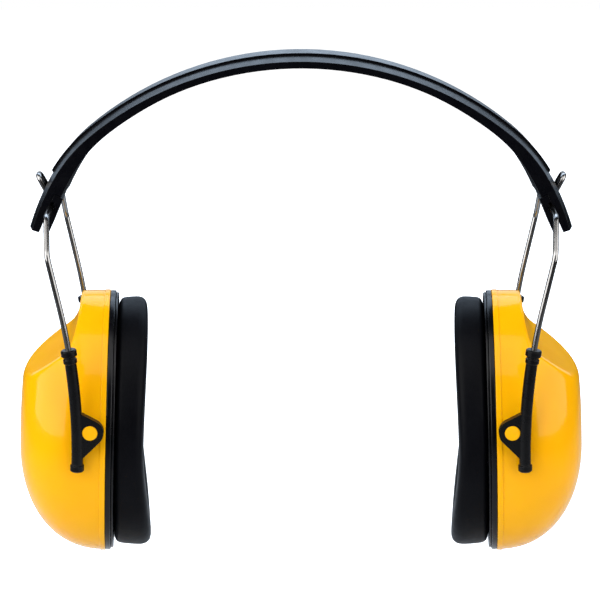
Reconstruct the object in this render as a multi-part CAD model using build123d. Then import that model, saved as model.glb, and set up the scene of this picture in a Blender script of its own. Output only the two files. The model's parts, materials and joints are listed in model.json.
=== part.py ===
from build123d import *
import os
from math import asin, cos, degrees, radians, sin, tan

# Earmuff hearing protector: a sprung headband with a wire yoke hinged at each end. Each yoke
# runs into two sleeves that clip onto the pivot studs of an ear cup.
# Millimetres. X is left to right across the head, Y is front to back, Z is up. The origin is the
# middle of the head, level with the cup pivots. Each side is built at +X and mirrored to -X.

# ---- headband ----
BAND_WIDTH = 25.0  # front to back
CROWN_Z = 123.0  # top of the band at its front and rear edges
BAND_ARCS = ((115.0, 39.0), (55.0, 21.0), (90.0, 12.0))  # edge line: radius and turn, from the crown
CROWN_THICK = 2.3  # thickness at the edges, at the crown
END_THICK = 5.3  # and near the ends
THICKEN_FROM = 16.0  # turn, in degrees, over which the band thickens
THICKEN_TO = 72.0
PLATEAU_RISE = 1.55  # the middle of the outer face stands above the edges
PLATEAU_HALF = 7.5
RIB_RISE = 0.85  # raised centre rib
RIB_HALF = 7.2
RIB_TURN = 58.5  # the rib stops at this turn

# ---- band end: n is outward, m is up along the band, both from the fold hinge ----
SLIT = 0.6  # half of the gap between the band's outer wall and the clip
CLIP_TOP = 4.6
CLIP_BOTTOM = -8.8
CLIP_IN = -2.6
WINDOW_TOP = 6.6
WINDOW_HALF = 4.9
PEG_UP = 3.1
PEG_Y = 8.6
PEG_R = 0.9

# ---- side assembly ----
SIDE_X = 73.9  # pivot axis at the middle of the cup
SIDE_TOE = 3.0  # degrees the yoke, sleeves and pivots toe in at the front
WIRE_R = 1.0
PIN_X = 13.0  # fold hinge, outward of the pivot axis
PIN_Z = 73.0
BAND_NORMAL = 23.44  # the band's outward normal at the fold hinge, above the horizontal
LOOP_OUT = 8.2  # loop bar, outward of the fold hinge and up along the band
LOOP_UP = 6.8
LOOP_HALF = 3.0
LEG_Y = 38.2  # yoke legs and sleeves, front and back of the middle
ARM_Y = 29.0  # the pins run straight to here, then slope down and out to the legs
LEG_KINK_X = 12.4  # bend where the slope meets the leg
LEG_KINK_Z = 61.5
SLIDE_R = 220.0  # the legs and sleeves share this curve, so one slides in the other
SLEEVE_X = 4.4  # sleeve axis, outward of the pivot, level with it
LEG_TOP_Z = 44.0  # the curved part of the leg
LEG_END_Z = 4.0

# ---- sleeves ----
SLEEVE_R = 2.0
BORE_R = 1.06
SLEEVE_TOP = 29.4
SLEEVE_BOTTOM = -13.8
COLLAR_CHAMFER = 0.4
LUG_R = 4.6
LUG_IN = 36.5  # lug faces, from the middle
LUG_OUT = 39.3
STUD_NECK_R = 2.1
STUD_HEAD_R = 2.6
STUD_CLEAR = 0.08
BOSS_R = 3.0
HEAD_IN = 38.1

# ---- cup ----
CUP_X = 70.1  # middle of the rim plane
CUP_Z = -8.6
CUP_TOE = 4.5
CUP_LEAN = 2.5  # the top of the rim leans inward
RIM_HALF = 35.2  # half width of the rim outline
RIM_LOW = 42.2  # outline below and above its widest line
RIM_HIGH = 53.6
RIM_WIDEST = -5.0
CUP_DEPTH = 31.1
WALL = 2.6
CUP_STATIONS = (0, 4, 8, 12, 16, 20, 23.5, 26.5, 28.8, 30.3, 30.95)
SCOOP = ((8.8, 62.0), (11.7, 34.2), (34.0, 17.2))  # hollow above the outer face: depth, height
SCOOP_FILLET = 8.0

# ---- rim and cushion, inward of the rim plane ----
RING_THICK = 2.0
RING_BAR = 17.0  # width of the ring, cushion plate and cushion
PLATE_THICK = 0.9
PLATE_INSET = 0.7
CUSHION_FACE = 14.4
CUSHION_INSET = 1.8
CUSHION_BAR = 14.8
CUSHION_ROUND = 3.6
COVER_WALL = 0.9

PIN_N = Vector(cos(radians(BAND_NORMAL)), 0, sin(radians(BAND_NORMAL)))
PIN_M = Vector(-sin(radians(BAND_NORMAL)), 0, cos(radians(BAND_NORMAL)))
SIDE = Pos(SIDE_X, 0, 0) * Rot(0, 0, -SIDE_TOE)
CUP = Pos(CUP_X, 0, CUP_Z) * Rot(0, 0, -CUP_TOE) * Rot(0, -CUP_LEAN, 0)
BAND_END = SIDE * Pos(PIN_X, 0, PIN_Z) * Rot(0, -BAND_NORMAL, 0)


# ---------------- headband ----------------
def band_point(turn, rise):
    """A point of the band's side view, on the line `rise` above the edge line."""
    x, z, done = 0.0, CROWN_Z, 0.0
    for radius, sweep in BAND_ARCS:
        a = radians(done)
        b = radians(min(done + sweep, turn))
        if b > a:
            x += radius * (sin(b) - sin(a))
            z += radius * (cos(b) - cos(a))
        done += sweep
    t = radians(turn)
    return Vector(x + rise * sin(t), 0, z + rise * cos(t))


def thickness(turn):
    """The band thickens smoothly from the crown to the ends."""
    s = min(max((turn - THICKEN_FROM) / (THICKEN_TO - THICKEN_FROM), 0.0), 1.0)
    return CROWN_THICK + (END_THICK - CROWN_THICK) * s * s * (3 - 2 * s)


def flip(point):
    return Vector(-point.X, point.Y, point.Z)


def arcs_over(limit, rise):
    """Tangent arcs over the crown from -limit to +limit, at `rise` above the edge line."""
    stops = [0.0]
    for radius, sweep in BAND_ARCS:
        stops.append(min(stops[-1] + sweep, limit))
    right = []
    for a, b in zip(stops[1:], stops[2:]):
        if b > a:
            points = [band_point(t, rise) for t in (a, (a + b) / 2, b)]
            right.append(ThreePointArc(*points))
    shoulder = band_point(stops[1], rise)
    top = ThreePointArc(flip(shoulder), band_point(0, rise), shoulder)
    left = [arc.mirror(Plane.YZ) for arc in right]
    return left + [top] + right


def slab(edges, half_width):
    """A side view outline carried across the band's width."""
    face = make_face(Wire(edges))
    return extrude(face, amount=half_width, dir=(0, 1, 0), both=True)


def headband():
    end = sum(sweep for radius, sweep in BAND_ARCS)
    turns = [end * k / 9 for k in range(10)]
    inner = [band_point(t, -thickness(t)) for t in turns]
    under = Spline(*([flip(p) for p in reversed(inner[1:])] + inner))
    last = band_point(end, PLATEAU_RISE)
    closing = [Line(last, inner[-1]), Line(flip(last), flip(inner[-1]))]
    band = slab(arcs_over(end, PLATEAU_RISE) + [under] + closing, BAND_WIDTH / 2)

    # sloping shoulders along the front and rear of the outer face
    for side in (-1, 1):
        start = band_point(end, PLATEAU_RISE)
        t = radians(end)
        up = Vector(sin(t), 0, cos(t))
        inner_y = side * PLATEAU_HALF
        outer_y = side * (BAND_WIDTH / 2 + 1.0)
        drop = PLATEAU_RISE * (BAND_WIDTH / 2 + 1.0 - PLATEAU_HALF) / (BAND_WIDTH / 2 - PLATEAU_HALF)
        corners = [
            start + Vector(0, inner_y, 0),
            start + Vector(0, outer_y, 0) - up * drop,
            start + Vector(0, outer_y, 0) + up * 2,
            start + Vector(0, inner_y, 0) + up * 2,
        ]
        path = Wire(arcs_over(end, PLATEAU_RISE))
        band -= sweep(make_face(Polyline(*corners, close=True)), path=path)

    # raised rib, with chamfered ends
    low = arcs_over(RIB_TURN, PLATEAU_RISE - 0.2)
    high = arcs_over(RIB_TURN - 0.7, PLATEAU_RISE + RIB_RISE)
    a = band_point(RIB_TURN, PLATEAU_RISE - 0.2)
    b = band_point(RIB_TURN - 0.7, PLATEAU_RISE + RIB_RISE)
    band += slab(low + high + [Line(a, b), Line(flip(a), flip(b))], RIB_HALF)

    # each end: recess and half bore for the yoke's pins, a window for its loop, two peg holes
    for mirrored in (False, True):
        cut = end_cut()
        band -= mirror(cut, about=Plane.YZ) if mirrored else cut
    return band


def end_box(n0, n1, y0, y1, m0, m1):
    """A block at the band end: n outward, y to the back, m up along the band, from the hinge."""
    size = Box(n1 - n0, y1 - y0, m1 - m0)
    return BAND_END * Pos((n0 + n1) / 2, (y0 + y1) / 2, (m0 + m1) / 2) * size


def end_rod(radius, y0, y1):
    return BAND_END * Pos(0, (y0 + y1) / 2, 0) * Rot(90, 0, 0) * Cylinder(radius, y1 - y0)


def pegs(radius, n1):
    length = n1 - SLIT + 0.4
    place = BAND_END * Pos(n1 - length / 2, 0, PEG_UP)
    rod = Rot(0, 90, 0) * Cylinder(radius, length)
    return place * Pos(0, PEG_Y, 0) * rod + place * Pos(0, -PEG_Y, 0) * rod


def end_cut():
    recess = end_box(-9, SLIT, -20, 20, -20, CLIP_TOP)
    bore = end_rod(WIRE_R + 0.1, -20, 20)
    window = end_box(-1, 12, -WINDOW_HALF, WINDOW_HALF, -20, WINDOW_TOP)
    return recess + bore + window + pegs(PEG_R + 0.04, 2.3)


def hinge_clip():
    """The plate on the inside of the band end that holds the yoke's pins in their half bores."""
    half = BAND_WIDTH / 2 - 0.3
    plate = end_box(CLIP_IN, -SLIT, -half, half, CLIP_BOTTOM, CLIP_TOP - 0.15)
    foot = end_box(-SLIT - 0.2, SLIT - 0.03, -half, half, 1.9, CLIP_TOP - 0.15)
    plate = fillet(plate.edges().group_by(Axis((0, 0, 0), tuple(PIN_M)))[0], 0.9)
    clip = plate + foot - end_rod(WIRE_R + 0.1, -20, 20)
    clip -= end_box(SLIT - 1.3, 3, -WINDOW_HALF, WINDOW_HALF, -1.6, 9)
    return clip + pegs(PEG_R, 2.0)


# ---------------- wire yoke ----------------
def bent_wire(points, radii):
    """Straight lines through the points, with each inner corner rounded to its radius."""
    edges = []
    here = points[0]
    for before, corner, after, radius in zip(points, points[1:], points[2:], radii):
        a = (before - corner).normalized()
        b = (after - corner).normalized()
        half = radians(a.get_angle(b)) / 2
        back = radius / tan(half)
        start = corner + a * back
        end = corner + b * back
        middle = corner + (a + b).normalized() * (radius / sin(half) - radius)
        edges.append(Line(here, start))
        edges.append(ThreePointArc(start, middle, end))
        here = end
    edges.append(Line(here, points[-1]))
    return edges


def slide_x(z):
    """Outward position of the curved legs and sleeves at height z."""
    return SLEEVE_X + SLIDE_R * (1 - cos(asin(z / SLIDE_R)))


def wire_yoke():
    def hinge_point(n, y, m):
        p = PIN_N * n + PIN_M * m
        return Vector(PIN_X + p.X, y, PIN_Z + p.Z)

    halves = []
    for s in (1, -1):
        points = [
            hinge_point(LOOP_OUT, 0, LOOP_UP),
            hinge_point(LOOP_OUT, s * LOOP_HALF, LOOP_UP),
            hinge_point(0, s * LOOP_HALF, 0),
            hinge_point(0, s * ARM_Y, 0),
            Vector(LEG_KINK_X, s * LEG_Y, LEG_KINK_Z),
            Vector(slide_x(LEG_TOP_Z), s * LEG_Y, LEG_TOP_Z),
        ]
        edges = bent_wire(points, (1.8, 1.8, 4.0, 6.0))
        middle_z = (LEG_TOP_Z + LEG_END_Z) / 2
        curve = [Vector(slide_x(z), s * LEG_Y, z) for z in (LEG_TOP_Z, middle_z, LEG_END_Z)]
        halves.append(edges + [ThreePointArc(*curve)])
    parts = []
    for edges in halves:
        path = Wire(edges)
        start = Plane(origin=edges[0] @ 0, z_dir=edges[0] % 0)
        parts.append(sweep(start * Circle(WIRE_R), path=path))
    return SIDE * (parts[0] + parts[1])


# ---------------- sleeves ----------------
def curved_rod(radius, z0, z1, side):
    """Part of the ring that the legs and sleeves follow, between two heights."""
    a0 = degrees(asin(z0 / SLIDE_R))
    a1 = degrees(asin(z1 / SLIDE_R))
    centre = (SLEEVE_X + SLIDE_R, side * LEG_Y, 0)
    turned = Pos(*centre) * Rot(0, a0, 0) * Pos(-SLIDE_R, 0, 0) * Circle(radius)
    return revolve(turned, axis=Axis(centre, (0, 1, 0)), revolution_arc=a1 - a0)


def sleeve(side):
    tube = curved_rod(SLEEVE_R, SLEEVE_BOTTOM + 0.5, SLEEVE_TOP - 0.5, side)
    collars = (
        (2.7, SLEEVE_TOP - 2.5, SLEEVE_TOP),
        (2.35, SLEEVE_TOP - 5.0, SLEEVE_TOP - 2.9),
        (2.4, SLEEVE_BOTTOM, SLEEVE_BOTTOM + 2.6),
    )
    for radius, z0, z1 in collars:
        collar = curved_rod(radius, z0, z1, side)
        tube += chamfer(collar.edges().filter_by(GeomType.CIRCLE), COLLAR_CHAMFER)

    # lug: an eyelet on the rim side, running down into the sleeve
    eye = Circle(LUG_R).edge()
    root = Line((SLEEVE_X - 0.3, 7.6), (SLEEVE_X - 0.3, -10.4))
    outline = make_hull([eye, root])
    at_front = Plane(origin=(0, side * LUG_IN, 0), x_dir=(1, 0, 0), z_dir=(0, -1, 0))
    lug = extrude(at_front * outline, amount=-side * (LUG_OUT - LUG_IN))
    body = tube + lug
    hole = rod_y(STUD_NECK_R + STUD_CLEAR, side, LUG_IN - 1, HEAD_IN + 0.01)
    seat = rod_y(STUD_HEAD_R + STUD_CLEAR, side, HEAD_IN - 0.05, LUG_OUT + 2)
    bore = curved_rod(BORE_R, SLEEVE_BOTTOM + 1.2, SLEEVE_TOP + 2, side)
    return SIDE * (body - hole - seat - bore)


def rod_y(radius, side, y0, y1):
    return Pos(0, side * (y0 + y1) / 2, 0) * Rot(90, 0, 0) * Cylinder(radius, y1 - y0)


# ---------------- cup ----------------
def outline(inset, u, shrink=(1.0, 1.0, 1.0)):
    """Egg shaped outline at depth u: `inset` inside the rim outline, then shrunk."""
    half = (RIM_HALF - inset) * shrink[0]
    low = (RIM_LOW - inset) * shrink[1]
    high = (RIM_HIGH - inset) * shrink[2]
    points = []
    for k in range(24):
        a = radians(15 * k)
        v = high * sin(a) if sin(a) > 0 else low * sin(a)
        points.append(Vector(u, half * cos(a), RIM_WIDEST + v))
    return make_face(Spline(*points, periodic=True))


def dome(inset, depth):
    """The rounded cup form, `inset` inside the outer surface and `depth` deep."""
    sections = []
    for station in CUP_STATIONS:
        s = station / CUP_STATIONS[-1] * 0.995
        shrink = [(1 - s**p) ** (1 / p) for p in (3.0, 2.2, 3.4)]
        sections.append(outline(inset, depth * s, shrink))
    return loft(sections)


def scoop(offset):
    """The hollow above the outer face, as a block to cut away; `offset` moves it inward."""
    (u0, v0), (u1, v1), (u2, v2) = SCOOP
    top = Vector(u0 - offset, v0)
    corner = Vector(u1 - offset, v1 - offset * 1.1)
    end = Vector(u2, v2 - offset * 1.3)
    edges = bent_wire([top, corner, end], (SCOOP_FILLET,))
    points = [end, Vector(60, v2), Vector(60, v0), top]
    edges += [Line(a, b) for a, b in zip(points, points[1:])]
    face = make_face(Wire(edges))
    upright = Plane(origin=(0, 0, 0), x_dir=(1, 0, 0), z_dir=(0, -1, 0))
    return extrude(upright * face, amount=60, both=True)


def cup_shell():
    shell = dome(0, CUP_DEPTH) - scoop(0)
    cavity = dome(WALL, CUP_DEPTH - WALL) - scoop(WALL)
    shell = CUP * (shell - Pos(-0.01, 0, 0) * cavity)
    for side in (1, -1):
        boss = rod_y(BOSS_R, side, RIM_HALF - 2.2, LUG_IN - 0.25)
        neck = rod_y(STUD_NECK_R, side, RIM_HALF - 2.2, HEAD_IN + 0.3)
        head = rod_y(STUD_HEAD_R, side, HEAD_IN + 0.05, LUG_OUT + 0.15)
        outer_face = head.faces().sort_by(Axis.Y)[-1 if side > 0 else 0]
        shell += SIDE * (boss + neck + fillet(outer_face.edges(), 0.3))
    return shell


def bar(inset, width, u0, u1):
    """A flat egg shaped ring between two depths."""
    outer = extrude(outline(inset, u0), amount=u1 - u0, dir=(1, 0, 0))
    inner = extrude(outline(inset + width, u0 - 1), amount=u1 - u0 + 2, dir=(1, 0, 0))
    return outer - inner


def rim_ring():
    ring = bar(0, RING_BAR, -RING_THICK, 0)
    lip = bar(WALL + 0.3, 1.4, -0.5, 2.6)
    return CUP * (ring + lip)


def cushion_plate():
    return CUP * bar(PLATE_INSET, RING_BAR - 0.9, -RING_THICK - PLATE_THICK, -RING_THICK - 0.02)


def cushion_cover():
    back = -RING_THICK - PLATE_THICK - 0.02
    cover = bar(CUSHION_INSET, CUSHION_BAR, -CUSHION_FACE, back)
    cover = fillet(cover.faces().sort_by(Axis.X)[0].edges(), CUSHION_ROUND)
    room = CUSHION_BAR - 2 * COVER_WALL
    inside = bar(CUSHION_INSET + COVER_WALL, room, COVER_WALL - CUSHION_FACE, back)
    inside = fillet(inside.faces().sort_by(Axis.X)[0].edges(), CUSHION_ROUND - COVER_WALL)
    return CUP * (cover - Pos(0.01, 0, 0) * inside)


def cushion_foam():
    back = -RING_THICK - PLATE_THICK - 0.02
    gap = COVER_WALL + 0.1
    foam = bar(CUSHION_INSET + gap, CUSHION_BAR - 2 * gap, gap - CUSHION_FACE, back)
    return CUP * fillet(foam.faces().sort_by(Axis.X)[0].edges(), CUSHION_ROUND - gap)


def foam_screen():
    disc = extrude(outline(WALL + 0.6, 3.0, (1.0, 0.98, 0.97)), amount=2.0, dir=(1, 0, 0))
    return CUP * disc


def absorber():
    block = dome(WALL + 0.6, CUP_DEPTH - WALL - 0.6) - scoop(WALL + 0.6)
    keep = Pos(6.0 + 30, 0, 0) * Box(60, 120, 140)
    return CUP * (block & keep)


SIDE_PARTS = {
    "hinge_clip": hinge_clip,
    "wire_yoke": wire_yoke,
    "sleeve_front": lambda: sleeve(-1),
    "sleeve_rear": lambda: sleeve(1),
    "cup_shell": cup_shell,
    "rim_ring": rim_ring,
    "cushion_plate": cushion_plate,
    "cushion_cover": cushion_cover,
    "cushion_foam": cushion_foam,
    "foam_screen": foam_screen,
    "absorber_foam": absorber,
}

os.makedirs("parts", exist_ok=True)
export_step(headband(), "parts/headband.step")
for name, make in SIDE_PARTS.items():
    right = make()
    export_step(right, f"parts/{name}_right.step")
    export_step(mirror(right, about=Plane.YZ), f"parts/{name}_left.step")
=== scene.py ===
import json
import math

import bmesh
import bpy
import numpy as np
from mathutils import Matrix, Vector


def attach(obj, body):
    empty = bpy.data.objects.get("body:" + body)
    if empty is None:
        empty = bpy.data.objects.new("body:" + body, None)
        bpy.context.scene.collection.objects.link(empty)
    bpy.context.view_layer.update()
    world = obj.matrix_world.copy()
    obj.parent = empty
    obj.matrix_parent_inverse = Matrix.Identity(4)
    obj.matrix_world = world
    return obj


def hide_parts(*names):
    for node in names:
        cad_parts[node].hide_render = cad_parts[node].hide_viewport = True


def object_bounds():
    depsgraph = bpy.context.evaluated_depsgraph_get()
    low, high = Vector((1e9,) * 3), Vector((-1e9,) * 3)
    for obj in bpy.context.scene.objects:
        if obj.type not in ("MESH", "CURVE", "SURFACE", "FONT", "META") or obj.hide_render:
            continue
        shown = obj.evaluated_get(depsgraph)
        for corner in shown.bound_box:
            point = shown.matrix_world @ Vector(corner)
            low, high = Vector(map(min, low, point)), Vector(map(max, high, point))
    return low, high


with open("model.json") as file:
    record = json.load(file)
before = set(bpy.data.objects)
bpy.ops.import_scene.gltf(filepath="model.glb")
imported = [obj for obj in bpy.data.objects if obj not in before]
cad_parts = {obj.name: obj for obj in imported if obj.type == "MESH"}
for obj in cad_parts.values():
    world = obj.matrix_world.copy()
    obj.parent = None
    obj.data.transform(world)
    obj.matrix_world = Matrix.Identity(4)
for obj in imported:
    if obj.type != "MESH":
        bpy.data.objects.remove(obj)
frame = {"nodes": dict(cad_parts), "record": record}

# Looks of the earmuff around its CAD frame. Lengths below are millimetres until they are
# placed; SIDE and CUP are the same two frames as the CAD part's.

cad_low, cad_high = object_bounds()
MM = 0.001

# ---- the part's driving dimensions that the looks need ----
SIDE_X = 73.9
SIDE_TOE = 3.0
WIRE_R = 1.0
PIN_X = 13.0
PIN_Z = 73.0
BAND_NORMAL = 23.44
LOOP_OUT = 8.2
LOOP_UP = 6.8
LOOP_HALF = 3.0
LEG_Y = 38.2
ARM_Y = 29.0
LEG_KINK_X = 12.4
LEG_KINK_Z = 61.5
SLIDE_R = 220.0
SLEEVE_X = 4.4
LEG_TOP_Z = 44.0
LEG_END_Z = 4.0
BENDS = (1.8, 1.8, 4.0, 6.0)
CUP_X = 70.1
CUP_Z = -8.6
CUP_TOE = 4.5
CUP_LEAN = 2.5
RIM_HALF = 35.2
RIM_LOW = 42.2
RIM_HIGH = 53.6
RIM_WIDEST = -5.0
CUP_DEPTH = 31.1
SIDE_POWER = 3.0  # how square the dome is towards its sides, foot and top
LOW_POWER = 2.2
HIGH_POWER = 3.4
WALL = 2.6
LIP_PROUD = 0.28  # raised lip round the open side of the cup
LIP_TALL = 1.9
SCOOP = ((8.8, 62.0), (11.7, 34.2), (34.0, 17.2))
SCOOP_SOFT = 9.0
CREASE_SOFT = 1.6
STUD_NECK_R = 2.1
STUD_HEAD_R = 2.6
STUD_FROM = 33.0
STUD_STEP = 38.15
STUD_TO = 39.45
RING_THICK = 2.0
RING_BAR = 17.0
PLATE_THICK = 0.9
PLATE_INSET = 0.7
CUSHION_BACK = 2.95
# height on the cup and the cushion's thickness there
CUSHION_DEEP = ((48.0, 11.0), (0.0, 9.7), (-46.0, 14.0))
CUSHION_TAPER = 0.032  # thickness gained for each millimetre towards the front
CUSHION_INSET = 1.8
CUSHION_BAR = 14.8
CUSHION_SWELL = 1.3

# ---- camera and light ----
TARGET = Vector((-0.0004, 0, 0.037))
DISTANCE = 0.600
PITCH = 14.0
LENS = 100.8  # with SENSOR, both in mm
SENSOR = 36.0
FLOOR_GLOW = (0.72, 1.0)  # near the object and far from it
FLOOR_FAR = 0.9
FLOOR_HALF = 3.0  # metres
FLOOR_GAP = 0.025  # metres below the part, so that lowered cups stay above it
FLOOR_BOUNCE = (0.72, 0.03)  # what reflections and bounced light meet, near and far
WORLD_GLOW = 0.03
COOL = (0.66, 0.81, 1.0)
WHITE = (1.0, 1.0, 1.0)
SOFTBOXES = (
    # name, place and aim in metres, width and height in metres, watts, colour
    ("top_back", (0.0, 0.50, 0.75), (0, 0, 0.1), 1.3, 0.6, 9.5, COOL),
    ("back_low", (0.0, 1.10, 0.40), (0, 0, 0.1), 2.4, 0.5, 5.5, COOL),
    ("left_wall", (-0.90, -0.50, 0.25), (0, 0, 0), 1.4, 1.4, 21.0, WHITE),
    ("right_wall", (0.90, -0.50, 0.25), (0, 0, 0), 1.4, 1.4, 16.0, WHITE),
    ("front_top", (-0.1, -0.80, 1.0), (0, 0, 0), 1.2, 0.8, 5.5, WHITE),
)


def turn(angle, axis):
    return Matrix.Rotation(math.radians(angle), 4, axis)


def right_frames():
    side = Matrix.Translation((SIDE_X * MM, 0, 0)) @ turn(-SIDE_TOE, "Z")
    cup = Matrix.Translation((CUP_X * MM, 0, CUP_Z * MM)) @ turn(-CUP_TOE, "Z") @ turn(-CUP_LEAN, "Y")
    return side, cup


SIDE, CUP = right_frames()


# ---------------- materials ----------------
class Nodes:
    """A new material and short calls for its nodes."""

    def __init__(self, name):
        self.material = bpy.data.materials.new(name)
        self.material.use_nodes = True
        self.tree = self.material.node_tree
        self.shader = self.tree.nodes["Principled BSDF"]
        self.place = self.add("ShaderNodeTexCoord").outputs["Object"]

    def add(self, kind, **inputs):
        node = self.tree.nodes.new(kind)
        for key, value in inputs.items():
            node.inputs[key.replace("_", " ")].default_value = value
        return node

    def link(self, a, b):
        self.tree.links.new(a, b)

    def set(self, **values):
        for key, value in values.items():
            self.shader.inputs[key.replace("_", " ")].default_value = value

    def noise(self, size_mm, detail=3.0, roughness=0.55):
        node = self.add("ShaderNodeTexNoise", Scale=1000.0 / size_mm, Detail=detail, Roughness=roughness)
        self.link(self.place, node.inputs["Vector"])
        return node.outputs["Fac"]

    def grain(self, size_mm):
        node = self.add("ShaderNodeTexVoronoi", Scale=1000.0 / size_mm)
        self.link(self.place, node.inputs["Vector"])
        return node.outputs["Distance"]

    def map(self, value, low, high, start=0.3, end=0.7):
        node = self.add("ShaderNodeMapRange")
        node.inputs["From Min"].default_value = start
        node.inputs["From Max"].default_value = end
        node.inputs["To Min"].default_value = low
        node.inputs["To Max"].default_value = high
        self.link(value, node.inputs["Value"])
        return node.outputs["Result"]

    def tint(self, value, dark, light, start=0.3, end=0.7):
        node = self.tree.nodes.new("ShaderNodeValToRGB")
        node.color_ramp.elements[0].position = start
        node.color_ramp.elements[1].position = end
        node.color_ramp.elements[0].color = (*dark, 1)
        node.color_ramp.elements[1].color = (*light, 1)
        self.link(value, node.inputs["Fac"])
        self.link(node.outputs["Color"], self.shader.inputs["Base Color"])

    def roughness(self, value, low, high):
        self.link(self.map(value, low, high), self.shader.inputs["Roughness"])

    def bumps(self, *layers, edge_mm=0.0):
        """Bump layers (height, depth in mm), on an optional softened edge."""
        normal = None
        if edge_mm:
            bevel = self.add("ShaderNodeBevel", Radius=edge_mm * MM)
            bevel.samples = 6
            normal = bevel.outputs["Normal"]
        for height, depth in layers:
            node = self.add("ShaderNodeBump", Distance=depth * MM)
            self.link(height, node.inputs["Height"])
            if normal:
                self.link(normal, node.inputs["Normal"])
            normal = node.outputs["Normal"]
        self.link(normal, self.shader.inputs["Normal"])


def satin_black(name, rough, shine, edge_mm, tone):
    m = Nodes(name)
    m.tint(m.noise(9.0), tuple(0.8 * c for c in tone), tuple(1.25 * c for c in tone))
    m.roughness(m.noise(4.0, 4.0), rough - 0.05, rough + 0.06)
    m.bumps((m.noise(0.35, 2.0), 0.012), (m.noise(14.0, 1.0), 0.05), edge_mm=edge_mm)
    m.set(Specular_IOR_Level=shine)
    return m.material


def glossy_yellow():
    m = Nodes("cup_yellow")
    m.tint(m.noise(26.0, 2.0), (0.92, 0.415, 0.0015), (0.97, 0.455, 0.002))
    m.roughness(m.noise(7.0, 4.0), 0.16, 0.22)
    m.bumps((m.noise(11.0, 1.0), 0.030), (m.noise(1.6, 2.0), 0.002))
    m.set(Specular_IOR_Level=0.07)
    m.set(Coat_Weight=0.25, Coat_Roughness=0.05, Coat_IOR=1.5)
    m.set(Subsurface_Weight=0.12, Subsurface_Scale=0.003)
    m.shader.inputs["Subsurface Radius"].default_value = (1.0, 0.5, 0.08)
    return m.material


def polished_wire():
    m = Nodes("wire_steel")
    m.set(Metallic=1.0, Specular_Tint=(0.4, 0.38, 0.36, 1))
    m.tint(m.noise(5.0), (0.27, 0.262, 0.255), (0.35, 0.342, 0.335))
    m.roughness(m.noise(4.0, 2.0), 0.15, 0.20)
    m.bumps((m.noise(8.0, 1.0), 0.004))
    return m.material


def cushion_foil():
    m = Nodes("cushion_foil")
    m.tint(m.noise(12.0), (0.0017, 0.0018, 0.0028), (0.0030, 0.0032, 0.0046))
    m.roughness(m.noise(3.0, 4.0), 0.38, 0.48)
    m.set(Specular_IOR_Level=0.055)
    m.bumps((m.grain(0.55), 0.018), (m.noise(6.0, 3.0), 0.10))
    return m.material


def open_foam(name, dark, light):
    m = Nodes(name)
    m.tint(m.grain(0.8), dark, light, 0.1, 0.6)
    m.set(Roughness=0.95)
    m.bumps((m.grain(0.8), 0.35), (m.noise(3.0), 0.2))
    return m.material


MATERIALS = {
    "band_black": satin_black("band_black", 0.27, 0.15, 0.15, (0.0012, 0.0013, 0.0024)),
    "sleeve_black": satin_black("sleeve_black", 0.28, 0.20, 0.2, (0.0014, 0.0014, 0.0018)),
    "rim_black": satin_black("rim_black", 0.24, 0.26, 0.2, (0.0013, 0.0014, 0.0020)),
    "cup_yellow": glossy_yellow(),
    "wire_steel": polished_wire(),
    "cushion_foil": cushion_foil(),
    "foam": open_foam("foam", (0.16, 0.16, 0.17), (0.42, 0.42, 0.43)),
    "foam_dark": open_foam("foam_dark", (0.012, 0.012, 0.014), (0.05, 0.05, 0.055)),
}


def paint_frame():
    slots = {part["node"]: part["material_slot"] for part in frame["record"]["subparts"]}
    for name, node in frame["nodes"].items():
        node.data.materials.clear()
        node.data.materials.append(MATERIALS[slots[name]])


# ---------------- mesh making ----------------
def piece(name, points, faces, place, mirrored, slot_name, body):
    """A smooth mesh piece from points in mm, put in place and carried by a body."""
    mesh = bpy.data.meshes.new(name)
    mesh.from_pydata([tuple(p) for p in np.asarray(points) * MM], [], faces)
    mesh.transform(place)
    if mirrored:
        mesh.transform(Matrix.Scale(-1, 4, (1, 0, 0)))
    outward = bmesh.new()
    outward.from_mesh(mesh)
    bmesh.ops.recalc_face_normals(outward, faces=outward.faces)
    outward.to_mesh(mesh)
    outward.free()
    mesh.shade_smooth()
    mesh.materials.append(MATERIALS[slot_name])
    made = bpy.data.objects.new(name, mesh)
    bpy.context.scene.collection.objects.link(made)
    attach(made, body)
    return made


def ring_faces(rows, around, closed=False):
    """Quads between rows of `around` points each; closed joins the last row to the first."""
    faces = []
    for i in range(rows if closed else rows - 1):
        for j in range(around):
            k = (j + 1) % around
            n = (i + 1) % rows
            faces.append((i * around + j, i * around + k, n * around + k, n * around + j))
    return faces


# ---------------- cup shell ----------------
BEYOND_CUP = 90.0  # mm, further out than any point of the cup
HALVINGS = 40


def smooth_max(a, b, soft):
    blend = np.clip(soft - np.abs(a - b), 0, None) / soft
    return np.maximum(a, b) + blend * blend * soft / 4


def half_plane(p, q, du, dv, deeper):
    """Distance from the cup's middle, along each direction, to the line through p and q."""
    along = np.array(q, float) - np.array(p, float)
    normal = np.array((-along[1], along[0])) / np.hypot(*along)
    offset = normal @ (np.array(p, float) - np.array((0.0, RIM_WIDEST)))
    if offset < 0:
        normal, offset = -normal, -offset
    facing = normal[0] * du + normal[1] * dv
    return np.where(facing > 1e-4, (offset - deeper) / np.maximum(facing, 1e-4), 1e3)


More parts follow.
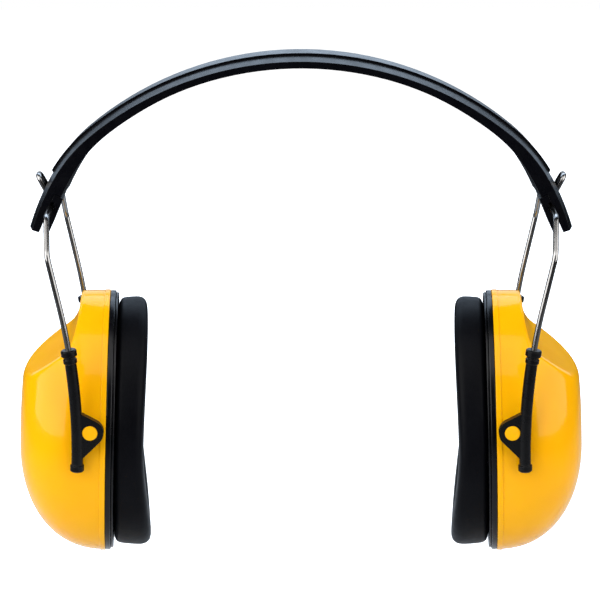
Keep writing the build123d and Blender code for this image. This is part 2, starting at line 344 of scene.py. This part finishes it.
def cup_reach(du, dy, dv, inset):
    """How far the cup's surface lies from the middle of its rim plane, along each direction."""
    near = np.zeros_like(du)
    far = np.full_like(du, BEYOND_CUP)
    depth = CUP_DEPTH - inset
    for _ in range(HALVINGS):
        r = (near + far) / 2
        s = np.clip(r * du / depth, 0, 0.9999)
        half = (RIM_HALF - inset) * (1 - s**SIDE_POWER) ** (1 / SIDE_POWER)
        low = (RIM_LOW - inset) * (1 - s**LOW_POWER) ** (1 / LOW_POWER)
        high = (RIM_HIGH - inset) * (1 - s**HIGH_POWER) ** (1 / HIGH_POWER)
        tall = np.where(dv > 0, high, low)
        outside = (r * dy / half) ** 2 + (r * dv / tall) ** 2 > 1
        outside |= r * du > 0.9999 * depth
        far = np.where(outside, r, far)
        near = np.where(outside, near, r)
    dome = near
    upper = half_plane(SCOOP[0], SCOOP[1], du, dv, inset)
    lower = half_plane(SCOOP[1], SCOOP[2], du, dv, inset)
    scoop = np.minimum(smooth_max(upper, lower, SCOOP_SOFT), 200.0)
    return -smooth_max(-dome, -scoop, CREASE_SOFT)


def cup_rows(inset, rows, around):
    """Rows of points from the rim to the middle of the outer face."""
    grid = []
    for i in range(rows):
        tilt = math.radians(90) * (1 - i / rows)
        a = np.arange(around) * 2 * math.pi / around
        du = np.full(around, math.cos(tilt))
        dy = math.sin(tilt) * np.cos(a)
        dv = math.sin(tilt) * np.sin(a)
        r = cup_reach(du, dy, dv, inset)
        row = np.stack([r * du, r * dy, RIM_WIDEST + r * dv], 1)
        row[:, 0] = np.maximum(row[:, 0], 0.0)
        grid.append(row)
    return grid


def cup_mesh():
    rows = 120
    inner_rows = 40
    around = 300
    outer = cup_rows(0.0, rows, around)
    inner = cup_rows(WALL, inner_rows, around)
    outward = [np.array([c]) for c in (1.0, 0.0, 0.0)]
    pole = np.array([[cup_reach(*outward, inset)[0], 0, RIM_WIDEST] for inset in (0.0, WALL)])
    points = np.concatenate(inner[::-1] + outer + [pole])
    count = len(inner) + len(outer)
    faces = ring_faces(count, around)
    last = (count - 1) * around
    for j in range(around):
        k = (j + 1) % around
        faces.append((last + j, last + k, len(points) - 2))
        faces.append((k, j, len(points) - 1))
    return points, faces


# ---------------- wire yoke ----------------
def rounded(points, radii, steps=9):
    """The points joined by straight lines, with each inner corner rounded to its radius."""
    line = [points[0]]
    for before, corner, after, radius in zip(points, points[1:], points[2:], radii):
        a = (before - corner).normalized()
        b = (after - corner).normalized()
        half = a.angle(b) / 2
        centre = corner + (a + b).normalized() * (radius / math.sin(half))
        start = corner + a * (radius / math.tan(half)) - centre
        end = corner + b * (radius / math.tan(half)) - centre
        sweep = start.angle(end)
        for k in range(steps + 1):
            share = k / steps
            p = start * math.sin((1 - share) * sweep) + end * math.sin(share * sweep)
            line.append(centre + p / math.sin(sweep))
    return line


def leg_x(z):
    return SLEEVE_X + SLIDE_R * (1 - math.cos(math.asin(z / SLIDE_R)))


def half_yoke(s):
    """The wire's middle line from the middle of its loop down one leg."""
    tilt = math.radians(BAND_NORMAL)
    outward = Vector((math.cos(tilt), 0, math.sin(tilt)))
    upward = Vector((-math.sin(tilt), 0, math.cos(tilt)))
    pin = Vector((PIN_X, 0, PIN_Z))
    loop = pin + outward * LOOP_OUT + upward * LOOP_UP
    corners = [
        loop,
        loop + Vector((0, s * LOOP_HALF, 0)),
        pin + Vector((0, s * LOOP_HALF, 0)),
        pin + Vector((0, s * ARM_Y, 0)),
        Vector((LEG_KINK_X, s * LEG_Y, LEG_KINK_Z)),
        Vector((leg_x(LEG_TOP_Z), s * LEG_Y, LEG_TOP_Z)),
    ]
    curved = [Vector((leg_x(z), s * LEG_Y, z)) for z in np.linspace(LEG_TOP_Z, LEG_END_Z, 17)]
    return rounded(corners, BENDS) + curved


def tube(path, radius, around=24):
    """A round wire along the path, closed by flat ends."""
    path = [np.array(p, float) for p in path]
    points, side = [], None
    for i, p in enumerate(path):
        along = path[min(i + 1, len(path) - 1)] - path[max(i - 1, 0)]
        along /= np.linalg.norm(along)
        side = np.array((0.0, 1.0, 0.3)) if side is None else side
        side = side - along * (side @ along)
        side /= np.linalg.norm(side)
        other = np.cross(along, side)
        for j in range(around):
            a = 2 * math.pi * j / around
            points.append(p + radius * (side * math.cos(a) + other * math.sin(a)))
    faces = ring_faces(len(path), around)
    last = (len(path) - 1) * around
    return points, faces + [tuple(range(around)), tuple(last + j for j in reversed(range(around)))]


def yoke_mesh():
    first = half_yoke(-1)
    return tube(first[::-1] + half_yoke(1)[1:], WIRE_R)


# ---------------- lathe ----------------
def lathe(profile, around=48):
    """A closed solid of revolution about Y from (radius, y) points that start and end on the axis."""
    points = [(0, profile[0][1], 0)]
    for radius, y in profile[1:-1]:
        for j in range(around):
            a = 2 * math.pi * j / around
            points.append((radius * math.cos(a), y, radius * math.sin(a)))
    points.append((0, profile[-1][1], 0))
    rows = len(profile) - 2
    faces = [tuple(1 + i for i in f) for f in ring_faces(rows, around)]
    last = len(points) - 1
    for j in range(around):
        k = (j + 1) % around
        faces.append((0, 1 + j, 1 + k))
        faces.append((last, last - around + k, last - around + j))
    return points, faces


def stud_profile(direction):
    r = STUD_HEAD_R
    steps = [(0, STUD_FROM), (STUD_NECK_R, STUD_FROM), (STUD_NECK_R, STUD_STEP - 0.02)]
    steps += [(STUD_NECK_R, STUD_STEP), (r - 0.05, STUD_STEP), (r, STUD_STEP + 0.05)]
    for k in range(7):
        a = math.radians(15 * k)
        steps.append((r - 0.35 + 0.35 * math.cos(a), STUD_TO - 0.35 + 0.35 * math.sin(a)))
    steps += [(r * 0.6, STUD_TO), (r * 0.5, STUD_TO - 0.02), (0, STUD_TO - 0.04)]
    return [(radius, direction * y) for radius, y in steps]


# ---------------- rings round the cup ----------------
def egg_point(inset, u, a):
    """A point at depth u on the rim outline, drawn in by inset."""
    tall = RIM_HIGH if math.sin(a) > 0 else RIM_LOW
    y = (RIM_HALF - inset) * math.cos(a)
    return u, y, RIM_WIDEST + (tall - inset) * math.sin(a)


def egg_ring(profile, around=260):
    """A closed section of (inset, depth) points carried round the rim outline."""
    points = []
    for inset, u in profile:
        points += [egg_point(inset, u, 2 * math.pi * j / around) for j in range(around)]
    return points, ring_faces(len(profile), around, closed=True)


def soft_box(corners, radius, steps=5):
    """A rectangle between two opposite (inset, depth) corners with rounded edges, as an outline."""
    (i0, u0), (i1, u1) = corners
    outline = []
    middles = ((i1, u1, 0), (i0, u1, 90), (i0, u0, 180), (i1, u0, 270))
    for i, u, start in middles:
        ci = i - math.copysign(radius, i - (i0 + i1) / 2)
        cu = u - math.copysign(radius, u - (u0 + u1) / 2)
        for k in range(steps + 1):
            a = math.radians(start + 90 * k / steps)
            outline.append((ci + radius * math.cos(a), cu + radius * math.sin(a)))
    return outline


# ---------------- ear cushion ----------------
def cushion_depth(v):
    """Thickness of the cushion at height v: least at the ear, more above, most below."""
    (va, a), (vb, b), (vc, c) = CUSHION_DEEP
    share = (v - vb) / (va - vb) if v > vb else (v - vb) / (vc - vb)
    share = min(max(share, 0.0), 1.15)
    far = a if v > vb else c
    return b + (far - b) * share * share * (3 - 2 * min(share, 1.0))


def cushion_section(t):
    """Rounded section of the cushion: t goes once round it. Gives (across the bar, depth), 0 to 1."""
    a = 2 * math.pi * t
    c, s = math.cos(a), math.sin(a)
    face_power = 0.6
    back_power = 0.3
    across = 0.5 + 0.5 * math.copysign(abs(c) ** 0.55, c)
    depth = 0.5 + 0.5 * math.copysign(abs(s) ** (face_power if s > 0 else back_power), s)
    return across, depth


def cushion_mesh(inside=0.0, around=200, section=44):
    """The cushion's surface, or one `inside` it by that many mm; held marks the points at its back."""
    points = []
    held = []
    for i in range(section):
        across, depth = cushion_section(i / section)
        tuck = inside + CUSHION_SWELL * 0.6 * (1 - depth) ** 2
        inset = CUSHION_INSET + tuck + (CUSHION_BAR - 2 * tuck) * across
        for j in range(around):
            u, y, v = egg_point(inset, 0, 2 * math.pi * j / around)
            thick = cushion_depth(v) - CUSHION_TAPER * y - CUSHION_SWELL * 0.35 - 1.5 * inside
            u = -CUSHION_BACK - 0.5 * inside - thick * depth
            points.append((u, y, v))
            held.append(depth < 0.08)
    return points, ring_faces(section, around, closed=True), held


def swell(obj, held, most_mm, pressure=3.0, frames=14):
    """Blows the foil cover up like cloth over its foam, held at the back, and keeps the result."""
    group = obj.vertex_groups.new(name="held")
    group.add([i for i, h in enumerate(held) if h], 1.0, "REPLACE")
    before = np.array([v.co for v in obj.data.vertices], float)
    cloth = obj.modifiers.new("cloth", "CLOTH")
    settings = cloth.settings
    settings.quality = 5
    settings.mass = 0.1
    settings.tension_stiffness = 25
    settings.compression_stiffness = 8
    settings.shear_stiffness = 5
    settings.bending_stiffness = 0.3
    settings.use_pressure = True
    settings.uniform_pressure_force = pressure
    settings.vertex_group_mass = "held"
    settings.effector_weights.gravity = 0
    cloth.collision_settings.use_collision = False
    scene = bpy.context.scene
    for f in range(1, frames + 1):
        scene.frame_set(f)
    evaluated = obj.evaluated_get(bpy.context.evaluated_depsgraph_get())
    after = np.array([v.co for v in evaluated.data.vertices], float)
    obj.modifiers.remove(cloth)
    scene.frame_set(1)
    moved = after - before
    length = np.linalg.norm(moved, axis=1, keepdims=True)
    cap = most_mm * MM
    moved *= cap * np.tanh(length / cap) / np.maximum(length, 1e-9)
    obj.data.vertices.foreach_set("co", (before + moved).astype(np.float32).ravel())
    obj.data.update()


def refine(obj):
    """One level of subdivision, applied."""
    modifier = obj.modifiers.new("smooth", "SUBSURF")
    modifier.levels = modifier.render_levels = 1
    mesh = bpy.data.meshes.new_from_object(obj.evaluated_get(bpy.context.evaluated_depsgraph_get()))
    obj.modifiers.clear()
    obj.data = mesh


# ---------------- assembly ----------------
def dress_side(name, mirrored):
    cup_body = "cup_" + name
    points, faces = yoke_mesh()
    yoke = piece("yoke_wire_" + name, points, faces, SIDE, mirrored, "wire_steel", "yoke_" + name)
    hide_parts("wire_yoke_" + name)
    points, faces = cup_mesh()
    shell = piece("shell_" + name, points, faces, CUP, mirrored, "cup_yellow", cup_body)
    for end, direction in (("front", -1), ("rear", 1)):
        points, faces = lathe(stud_profile(direction))
        stud = piece(f"pivot_stud_{end}_{name}", points, faces, SIDE, mirrored, "cup_yellow", cup_body)
        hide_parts("cup_shell_" + name)
    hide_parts("cup_shell_" + name)
    points, faces, held = cushion_mesh()
    cushion = piece("cushion_" + name, points, faces, CUP, mirrored, "cushion_foil", cup_body)
    swell(cushion, held, CUSHION_SWELL)
    refine(cushion)
    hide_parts("cushion_cover_" + name)
    points, faces, _ = cushion_mesh(inside=1.0)
    foam = piece("cushion_filling_" + name, points, faces, CUP, mirrored, "foam", cup_body)
    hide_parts("cushion_foam_" + name)
    points, faces = egg_ring(soft_box(((-LIP_PROUD, 0.0), (WALL, LIP_TALL)), 0.22))
    lip = piece("rim_lip_" + name, points, faces, CUP, mirrored, "cup_yellow", cup_body)
    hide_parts("cup_shell_" + name)
    ring = soft_box(((0.0, -RING_THICK), (RING_BAR, 0.0)), 0.45)
    plate_box = ((PLATE_INSET, -RING_THICK - PLATE_THICK), (RING_BAR - 0.2, -RING_THICK - 0.02))
    plate = soft_box(plate_box, 0.3)
    for ring_name, profile in (("rim_ring", ring), ("cushion_plate", plate)):
        points, faces = egg_ring(profile)
        made = piece(f"{ring_name}_look_{name}", points, faces, CUP, mirrored, "rim_black", cup_body)
        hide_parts(f"{ring_name}_{name}")


# ---------------- studio ----------------
def studio_floor():
    mesh = bpy.data.meshes.new("floor")
    z = cad_low.z - FLOOR_GAP
    corners = [(-1, -1), (1, -1), (1, 1), (-1, 1)]
    mesh.from_pydata([(FLOOR_HALF * x, FLOOR_HALF * y, z) for x, y in corners], [], [(0, 1, 2, 3)])
    m = Nodes("floor_white")
    m.tint(m.noise(300.0), (0.86, 0.86, 0.86), (0.88, 0.88, 0.88))
    m.set(Roughness=0.9, Emission_Color=(1, 1, 1, 1))
    away = m.add("ShaderNodeVectorMath")
    away.operation = "LENGTH"
    m.link(m.place, away.inputs[0])
    glow = m.map(away.outputs["Value"], *FLOOR_GLOW, start=0.1, end=FLOOR_FAR)
    m.link(glow, m.shader.inputs["Emission Strength"])
    dark = m.add("ShaderNodeBsdfDiffuse")
    bounce = m.map(away.outputs["Value"], *FLOOR_BOUNCE, start=0.12, end=0.45)
    m.link(bounce, dark.inputs["Color"])
    only_seen(m.tree, dark.outputs[0], m.shader.outputs[0], m.tree.nodes["Material Output"])
    mesh.materials.append(m.material)
    floor = bpy.data.objects.new("floor", mesh)
    bpy.context.scene.collection.objects.link(floor)


def softbox(name, place, aim, width, height, power, colour):
    data = bpy.data.lights.new(name, "AREA")
    data.color = colour
    data.shape = "RECTANGLE"
    data.size, data.size_y = width, height
    data.energy = power
    light = bpy.data.objects.new(name, data)
    light.visible_camera = False
    light.location = place
    light.rotation_euler = (Vector(aim) - Vector(place)).to_track_quat("-Z", "Y").to_euler()
    bpy.context.scene.collection.objects.link(light)


def only_seen(tree, lighting, seen, output):
    """Rays from the camera meet the pale studio; reflections and bounced light meet the dim one."""
    path = tree.nodes.new("ShaderNodeLightPath")
    mix = tree.nodes.new("ShaderNodeMixShader")
    tree.links.new(path.outputs["Is Camera Ray"], mix.inputs[0])
    tree.links.new(lighting, mix.inputs[1])
    tree.links.new(seen, mix.inputs[2])
    tree.links.new(mix.outputs[0], output.inputs["Surface"])


def studio_world():
    world = bpy.data.worlds.new("studio")
    bpy.context.scene.world = world
    world.use_nodes = True
    tree = world.node_tree
    tree.nodes["Background"].inputs["Color"].default_value = (1, 1, 1, 1)
    tree.nodes["Background"].inputs["Strength"].default_value = 1.0
    dim = tree.nodes.new("ShaderNodeBackground")
    dim.inputs["Color"].default_value = (0.85, 0.92, 1, 1)
    dim.inputs["Strength"].default_value = WORLD_GLOW
    only_seen(tree, dim.outputs[0], tree.nodes["Background"].outputs[0], tree.nodes["World Output"])


def camera():
    data = bpy.data.cameras.new("camera")
    data.lens = LENS
    data.sensor_width = SENSOR
    made = bpy.data.objects.new("camera", data)
    tilt = math.radians(PITCH)
    back = Vector((0, -math.cos(tilt), math.sin(tilt)))
    made.location = TARGET + DISTANCE * back
    made.rotation_euler = (math.radians(90 - PITCH), 0, 0)
    bpy.context.scene.collection.objects.link(made)
    bpy.context.scene.camera = made


paint_frame()
for side_name, is_left in (("right", False), ("left", True)):
    dress_side(side_name, is_left)
studio_floor()
studio_world()
for box in SOFTBOXES:
    softbox(*box)
camera()
bpy.context.scene.view_settings.view_transform = "Standard"
